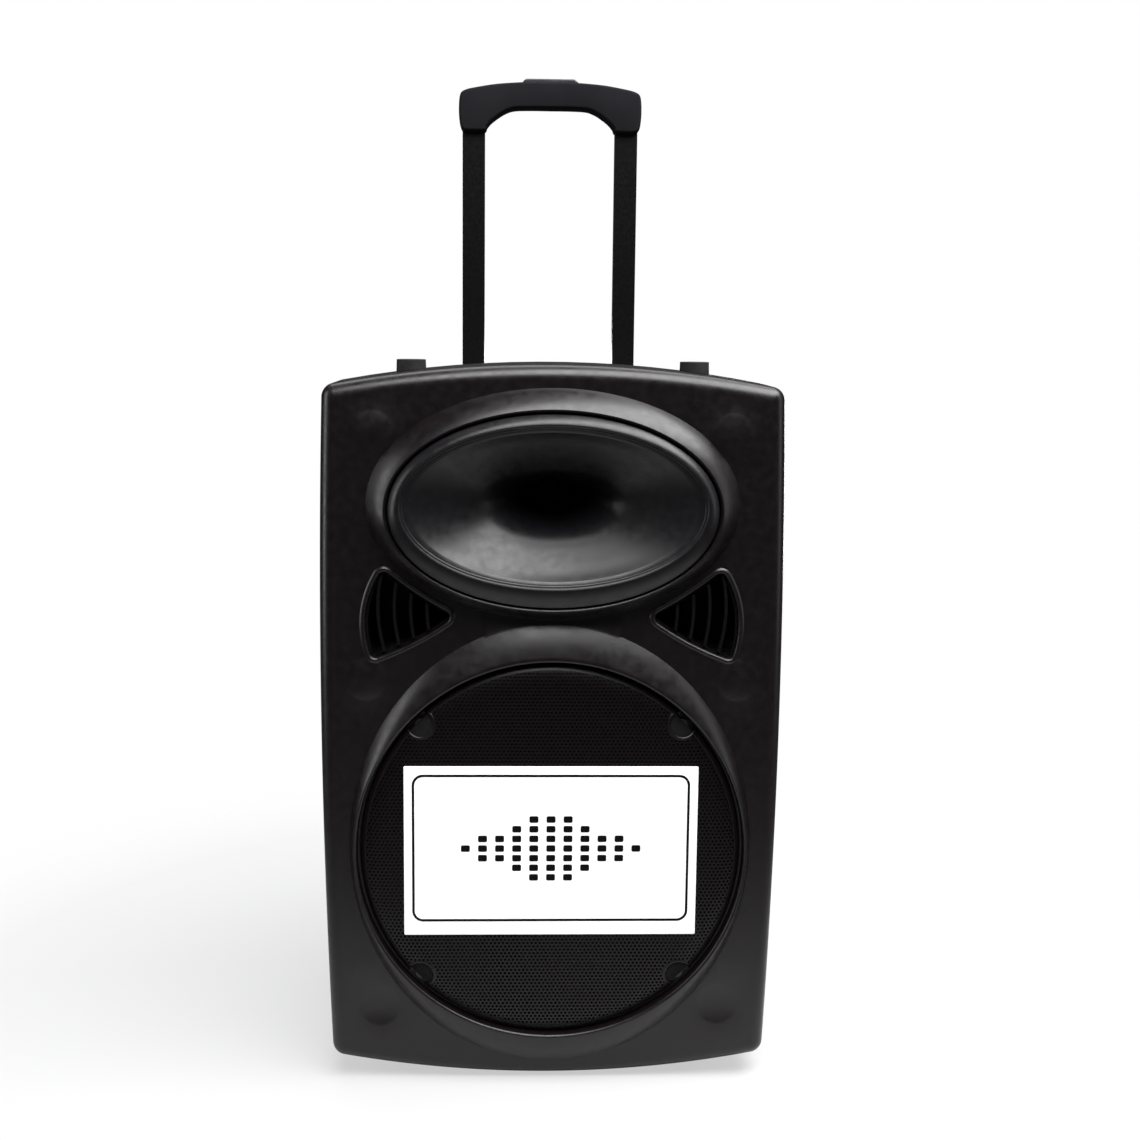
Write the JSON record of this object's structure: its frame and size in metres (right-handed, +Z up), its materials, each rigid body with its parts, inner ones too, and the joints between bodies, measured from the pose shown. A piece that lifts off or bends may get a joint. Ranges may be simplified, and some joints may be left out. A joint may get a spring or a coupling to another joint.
{
  "type": "party speaker",
  "caption": "Trolley party speaker: moulded cabinet with an oval horn over a large grilled woofer, pull-up handle, wheels and a rear amplifier panel.",
  "frame": {"origin": "on the ground, under the middle of the overall box", "axes": "+Z up along the pull-up handle, -Y out of the front, +X to the right seen from the front"},
  "size_m": [0.458, 0.38, 1.037],
  "materials": {
    "cabinet_plastic": "satin, fine texture",
    "trim_plastic": "matte",
    "rubber": "matte",
    "screw_steel": "black zinc",
    "basket_steel": "powder coat",
    "ferrite": "matte",
    "plated_steel": "zinc plated",
    "cone_paper": "pressed paper",
    "copper": "enamelled wire",
    "surround_foam": "foam",
    "spider_cloth": "resin dipped cloth",
    "grille_steel": "satin powder coat",
    "badge_plastic": "white, printed",
    "horn_plastic": "satin",
    "driver_metal": "satin",
    "circuit_board": "solder mask",
    "grip_plastic": "satin",
    "tube_metal": "satin black",
    "guide_metal": "zinc plated",
    "button_plastic": "satin",
    "spring_steel": "bright",
    "hub_plastic": "satin",
    "tyre": "matte",
    "panel_paint": "fine texture",
    "knob_plastic": "satin",
    "key_rubber": "matte",
    "rocker_plastic": "gloss",
    "connector_plastic": "matte",
    "module_plastic": "gloss",
    "sink_aluminium": "black anodised",
    "battery_case": "matte"
  },
  "bodies": {
    "cabinet": {"front_baffle": "cabinet_plastic", "rear_shell": "cabinet_plastic", "side_cup_left": "trim_plastic", "side_cup_right": "trim_plastic", "handle_bezel": "trim_plastic", "feet_bottom": "rubber", "feet_top": "rubber", "cabinet_screws": "screw_steel", "woofer_basket": "basket_steel", "woofer_magnet": "ferrite", "woofer_pole_piece": "plated_steel", "woofer_surround": "surround_foam", "woofer_spider": "spider_cloth", "woofer_screws": "screw_steel", "woofer_grille": "grille_steel", "grille_screws": "screw_steel", "badge_plate": "badge_plastic", "horn_flare": "horn_plastic", "compression_driver": "driver_metal", "vent_louvre_left": "trim_plastic", "vent_louvre_right": "trim_plastic", "port_duct_left": "trim_plastic", "port_duct_right": "trim_plastic", "crossover_board": "circuit_board", "guide_tube_left": "guide_metal", "guide_tube_right": "guide_metal", "wheel_axle": "plated_steel", "pole_socket": "trim_plastic", "amp_panel": "panel_paint", "input_jacks": "connector_plastic", "mains_inlet": "connector_plastic", "media_module": "module_plastic", "amp_board": "circuit_board", "heat_sink": "sink_aluminium", "battery": "battery_case", "battery_tray": "trim_plastic", "panel_screws": "screw_steel"},
    "handle": {"handle_grip": "grip_plastic", "handle_tube_left": "tube_metal", "handle_tube_right": "tube_metal", "release_spring": "spring_steel"},
    "release": {"release_button": "button_plastic", "release_rods": "plated_steel"},
    "lock_pin_left": {"lock_pin_left": "plated_steel"},
    "lock_pin_right": {"lock_pin_right": "plated_steel"},
    "wheel_left": {"wheel_hub_left": "hub_plastic", "wheel_tyre_left": "tyre"},
    "wheel_right": {"wheel_hub_right": "hub_plastic", "wheel_tyre_right": "tyre"},
    "cone": {"woofer_cone": "cone_paper", "dust_cap": "cone_paper", "voice_coil": "copper"},
    "knob_volume": {"knob_volume": "knob_plastic"},
    "knob_bass": {"knob_bass": "knob_plastic"},
    "knob_treble": {"knob_treble": "knob_plastic"},
    "knob_echo": {"knob_echo": "knob_plastic"},
    "key_back": {"key_back": "key_rubber"},
    "key_play": {"key_play": "key_rubber"},
    "key_next": {"key_next": "key_rubber"},
    "power_rocker": {"power_rocker": "rocker_plastic"}
  },
  "joints": [
    {"name": "trolley_slide", "type": "slide", "parent": "cabinet", "child": "handle", "axis": [0, 0, 1], "range_m": [-0.34, 0]},
    {"name": "release_press", "type": "slide", "parent": "handle", "child": "release", "axis": [0, 0, 1], "range_m": [-0.004, 0], "stiffness_N_per_m": 2000, "springref_m": 0.004, "deforming": ["release_spring"]},
    {"name": "lock_pin_left_slide", "type": "slide", "parent": "handle", "child": "lock_pin_left", "axis": [-1, 0, 0], "range_m": [-0.003, 0]},
    {"name": "lock_pin_right_slide", "type": "slide", "parent": "handle", "child": "lock_pin_right", "axis": [1, 0, 0], "range_m": [-0.003, 0]},
    {"name": "wheel_left_spin", "type": "hinge", "parent": "cabinet", "child": "wheel_left", "pos_m": [-0.139, 0.145, 0.047], "axis": [1, 0, 0], "continuous": true},
    {"name": "wheel_right_spin", "type": "hinge", "parent": "cabinet", "child": "wheel_right", "pos_m": [0.139, 0.145, 0.047], "axis": [1, 0, 0], "continuous": true},
    {"name": "cone_excursion", "type": "slide", "parent": "cabinet", "child": "cone", "axis": [0, -1, 0], "range_m": [-0.004, 0.004], "stiffness_N_per_m": 4000, "deforming": ["woofer_surround", "woofer_spider"]},
    {"name": "knob_volume_turn", "type": "hinge", "parent": "cabinet", "child": "knob_volume", "pos_m": [0.051, 0.174, 0.425], "axis": [0, 1, 0], "range_deg": [-150, 150]},
    {"name": "knob_bass_turn", "type": "hinge", "parent": "cabinet", "child": "knob_bass", "pos_m": [0.017, 0.174, 0.425], "axis": [0, 1, 0], "range_deg": [-150, 150]},
    {"name": "knob_treble_turn", "type": "hinge", "parent": "cabinet", "child": "knob_treble", "pos_m": [-0.017, 0.174, 0.425], "axis": [0, 1, 0], "range_deg": [-150, 150]},
    {"name": "knob_echo_turn", "type": "hinge", "parent": "cabinet", "child": "knob_echo", "pos_m": [-0.051, 0.174, 0.425], "axis": [0, 1, 0], "range_deg": [-150, 150]},
    {"name": "key_back_press", "type": "slide", "parent": "cabinet", "child": "key_back", "axis": [0, -1, 0], "range_m": [0, 0.001], "stiffness_N_per_m": 800, "springref_m": -0.0005},
    {"name": "key_play_press", "type": "slide", "parent": "cabinet", "child": "key_play", "axis": [0, -1, 0], "range_m": [0, 0.001], "stiffness_N_per_m": 800, "springref_m": -0.0005},
    {"name": "key_next_press", "type": "slide", "parent": "cabinet", "child": "key_next", "axis": [0, -1, 0], "range_m": [0, 0.001], "stiffness_N_per_m": 800, "springref_m": -0.0005},
    {"name": "power_rocker_tilt", "type": "hinge", "parent": "cabinet", "child": "power_rocker", "pos_m": [0.04, 0.174, 0.215], "axis": [1, 0, 0], "range_deg": [0, 24]}
  ],
  "couplings": [
    {"joint": "lock_pin_left_slide", "follows": "release_press", "ratio": 0.75},
    {"joint": "lock_pin_right_slide", "follows": "release_press", "ratio": 0.75}
  ]
}
